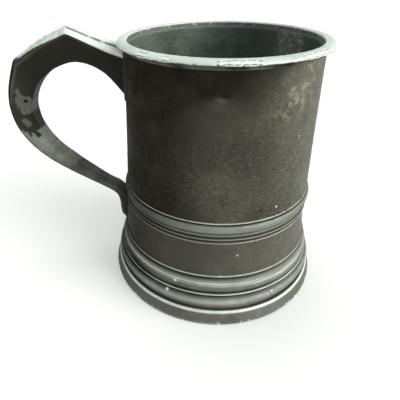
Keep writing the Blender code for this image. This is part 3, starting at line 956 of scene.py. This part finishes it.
def handle_paint(fact):
    """Nearly white along the crown, partly rubbed and partly painted reflection, black below it, with a
    painted shadow along the outer edge of the lower run and pale islands down the outer run.
    """
    station, share, w, s, z, shoulder, top = fact
    place = station / STATION_STEPS
    ragged = 0.35 * noise.fractal(Vector((s, w * 0.6, z)) / 2.4, 1.0, 2.0, 3)
    # The crown's near white is partly rubbed metal and partly painted reflection of the sky.
    crown = min(1.0, max(0.0, (top - (0.62 + 0.3 * ragged) * ease(place, 2.25, 3.9)) * 9))
    wear_and_highlight = crown * (1 - ease(place + ragged, 3.75, 4.05))
    if place > 2:
        wear_and_highlight *= 0.8 + 0.2 * ease(ragged, -0.15, 0.1)
    wear_and_highlight = max(wear_and_highlight, 0.1 * shoulder * (1 - ease(place, 4.0, 6.0)))
    blob = noise.fractal(Vector((s, 17.0, z)) / 7.0, 0.85, 2.0, 5)
    core = math.exp(-(((s - 91.3) / 5.2) ** 2 + ((z - 86.0) / 7.6) ** 2))
    tail = math.exp(-(((s - 92.5) / 2.2) ** 2 + ((z - 77.0) / 3.0) ** 2))
    low = ease(place, 6.6, 7.2) * ease(10.4 - place, 0.0, 1.9)
    edge_off = ease(share, 0.1, 0.2)
    spot = max(core, 0.95 * tail)
    patch = 0.38 * ease(spot * (1 + 0.5 * blob) + 0.16 * blob, 0.4, 0.47) * ease(spot, 0.22, 0.32) * edge_off
    run = (0.72 + 0.25 * ease(share, 0.2, 0.75)) * (1 - 0.5 * ease(place + 0.8 * blob, 8.0, 9.2))
    bite = math.exp(-(((s - 87.5) / 2.2) ** 2 + ((z - 70.0) / 2.4) ** 2))
    bite += math.exp(-(((s - 70.0) / 4.5) ** 2 + ((z - 48.4) / 1.6) ** 2))
    fade = 0.55 * ease(place, 8.0, 9.0)
    covered = ease(low * (1 + 0.5 * blob) + 0.3 * blob - 0.8 * bite, 0.42 - 0.3 * fade, 0.52 + fade)
    patch = max(patch, run * covered * edge_off)
    patch = max(patch, 0.36 * ease(place, 8.2, 9.2) * (0.8 + 0.6 * blob) * ease(12.2 - place, 0.0, 2.2))
    grime_and_shade = 0.55 * (1 - ease(place, 3.6, 5.0)) * (1 - crown)
    # A painted shadow along the outer edge of the lower run.
    outer_edge = ease(0.12 - share, 0.0, 0.06) * ease(place, 4.0, 4.4)
    grime_and_shade = max(grime_and_shade, 0.9 * outer_edge)
    wear_and_highlight *= 1 - outer_edge
    pin = math.exp(-((math.hypot(s - CORE_PIN[0], z - CORE_PIN[1]) / (CORE_PIN[2] * 1.1)) ** 4))
    if w < 0:
        grime_and_shade = max(grime_and_shade, pin)
        patch *= 1 - pin
        seam = math.exp(-(((abs(w) - STRUT_SEAM) / 0.22) ** 2)) * (1 - ease(place, 1.93, 1.99))
        cut = 0.6 * seam * ease(noise.noise(Vector((s * 0.35, 5.0, 0.0))), -0.45, -0.1) * crown
        grime_and_shade = max(grime_and_shade, cut)
        wear_and_highlight *= 1 - 0.9 * cut
    return wear_and_highlight, grime_and_shade * (1 - 0.85 * wear_and_highlight), patch, 0.0


def build_handle(part, loops, facts):
    """One casting of the handle, from its loops of points and what is known about each."""
    count, around = len(loops), len(loops[0])
    points = np.array(loops)
    ahead = np.roll(points, -1, axis=1) - np.roll(points, 1, axis=1)
    along = np.gradient(points, axis=0)
    normal = np.cross(along, ahead)
    length = np.linalg.norm(normal, axis=2, keepdims=True)
    normal = np.where(length > 1e-6, normal / np.maximum(length, 1e-9), 0)
    centre = points.mean(axis=1, keepdims=True)
    flip = np.sign(((points - centre) * normal).sum(axis=(1, 2)).sum())
    normal *= flip
    for i in range(count):
        for j in range(around):
            x, y, z = points[i, j]
            shoulder = facts[i][j][5]
            hold = min(1.0, i / ROOT_STEPS)
            points[i, j] += normal[i, j] * handle_move(-x, y, z, shoulder) * hold
    mesh = skin_over(part, points, HANDLE_SHARP)
    painted = np.array([handle_paint(f) for loop in facts for f in loop])
    for k, label in enumerate(PAINTS):
        add_attribute(mesh, label, painted[:, k])
    finish_piece(part + "_fine", mesh, HANDLE_SKIN, [part])


# ---------------------------------------------------------------- solder

BEAD_SIDES = 12


def make_bead(node, path, thick, seed):
    """An uneven run of solder along a path of (x, y, z) points, in millimetres."""
    rings = []
    count = len(path)
    for i, point in enumerate(path):
        here = Vector(point)
        after, before = Vector(path[min(i + 1, count - 1)]), Vector(path[max(i - 1, 0)])
        ahead = (after - before).normalized()
        out = Vector((point[0], point[1], 0)).normalized()
        side = ahead.cross(out).normalized()
        size = thick * (1 + 0.3 * noise.noise(here / 3.0 + Vector((seed, 0, 0))))
        size *= min(1.0, 0.35 + i / 4, 0.35 + (count - 1 - i) / 4)
        turns = [math.tau * k / BEAD_SIDES for k in range(BEAD_SIDES)]
        rings.append([here + out * size * 0.7 * math.cos(a) + side * size * math.sin(a) for a in turns])
    mesh = skin_over(node, rings)
    for label, value in zip(PAINTS, (0.05, 0.45, 0.0, 0.0)):
        add_attribute(mesh, label, [value] * len(mesh.vertices))
    finish_piece(node + "_bead", mesh, SOLDER_SKIN, [node])


def on_wall(y, z, radius, out):
    """The point of the wall beside the handle at (Y, Z), moved out by out."""
    return (-math.sqrt((radius + out) ** 2 - y * y), y, z)


def bead_route(half, low, high, corner, spacing):
    """Down one side of the handle's end, under it and up the other side, as (Y, Z)."""
    path = rounded([(-half, high), (-half, low), (half, low), (half, high)], corner, 4, closed=False)
    return divided(path, spacing, closed=False)


def make_upper_solder():
    route = bead_route(7.0, 89.4, 110.7, 2.0, 0.7)
    make_bead("upper_solder", [on_wall(p.x, p.y, drum_radius(p.y), 0.15) for p in route], 0.8, 3.0)


def body_radius(z):
    """Outside radius of the lower body at height z."""
    line = WAIST_LINE + [(47.65, 25.0), (48.6, 22.2), (49.0, 20.5)]
    heights = [p[1] for p in line][::-1]
    return float(np.interp(z, heights, [p[0] for p in line][::-1]))


def make_lower_solder():
    route = bead_route(4.5, 22.8, 36.5, 1.6, 0.6)
    make_bead("lower_solder", [on_wall(p.x, p.y, body_radius(p.y), 0.1) for p in route], 0.7, 9.0)


# ---------------------------------------------------------------- stage


def make_floor():
    mesh = bpy.data.meshes.new("floor")
    size = 6.0
    corners = [(-size, -size, 0), (size, -size, 0), (size, size, 0), (-size, size, 0)]
    mesh.from_pydata(corners, [], [(0, 1, 2, 3)])
    floor = bpy.data.objects.new("floor", mesh)
    bpy.context.scene.collection.objects.link(floor)
    floor.location.z = -0.0002
    skin = bpy.data.materials.new("floor_paper")
    skin.use_nodes = True
    shader = skin.node_tree.nodes["Principled BSDF"]
    shader.inputs["Base Color"].default_value = (0.9, 0.9, 0.89, 1)
    shader.inputs["Roughness"].default_value = 0.9
    shader.inputs["Specular IOR Level"].default_value = 0.1
    mesh.materials.append(skin)


def make_sky(name, azimuth, height, strength, wide, colour=(1, 1, 1)):
    """A broad, far soft light. Azimuth 0 is over the camera's side and 90 is to the right."""
    a, e = math.radians(azimuth), math.radians(height)
    away = Vector((math.sin(a) * math.cos(e), -math.cos(a) * math.cos(e), math.sin(e)))
    data = bpy.data.lights.new(name, "SUN")
    data.energy = strength
    data.angle = math.radians(wide)
    data.color = colour
    lamp = bpy.data.objects.new(name, data)
    bpy.context.scene.collection.objects.link(lamp)
    lamp.location = Vector((AXIS_X, 0, 0.06)) + away
    lamp.rotation_mode = "QUATERNION"
    lamp.rotation_quaternion = away.to_track_quat("Z", "Y")


def make_world(strength, colour):
    world = bpy.data.worlds.new("studio")
    bpy.context.scene.world = world
    world.use_nodes = True
    background = world.node_tree.nodes["Background"]
    background.inputs["Color"].default_value = (*colour, 1)
    background.inputs["Strength"].default_value = strength


def make_camera():
    data = bpy.data.cameras.new("camera")
    data.sensor_width = 36.0
    data.lens = CAMERA_LENS
    data.shift_x, data.shift_y = CAMERA_SHIFT
    data.clip_start, data.clip_end = 0.005, 20.0
    camera = bpy.data.objects.new("camera", data)
    bpy.context.scene.collection.objects.link(camera)
    yaw, pitch, roll = (math.radians(v) for v in (CAMERA_YAW, CAMERA_PITCH, CAMERA_ROLL))
    ahead = Vector((math.sin(yaw) * math.cos(pitch), math.cos(yaw) * math.cos(pitch), -math.sin(pitch)))
    camera.location = CAMERA_AT
    camera.rotation_mode = "QUATERNION"
    camera.rotation_quaternion = ahead.to_track_quat("-Z", "Y") @ Quaternion((0, 0, 1), roll)
    bpy.context.scene.camera = camera


make_camera()
make_floor()
make_world(0.42, (1.0, 1.0, 1.0))
make_sky("window", 72, 15, 3.7, 50, (1.0, 0.99, 0.95))
make_sky("overhead", 30, 78, 1.1, 80, (0.96, 1.0, 0.98))
make_sky("behind", -145, 48, 1.1, 70, (0.96, 1.0, 0.98))
bpy.context.scene.view_settings.view_transform = "Standard"

make_rim()
make_drum()
make_band()
make_lower_body()
make_skirt()
make_foot()
make_base()
make_base_solder()
make_handle()
make_upper_solder()
make_lower_solder()
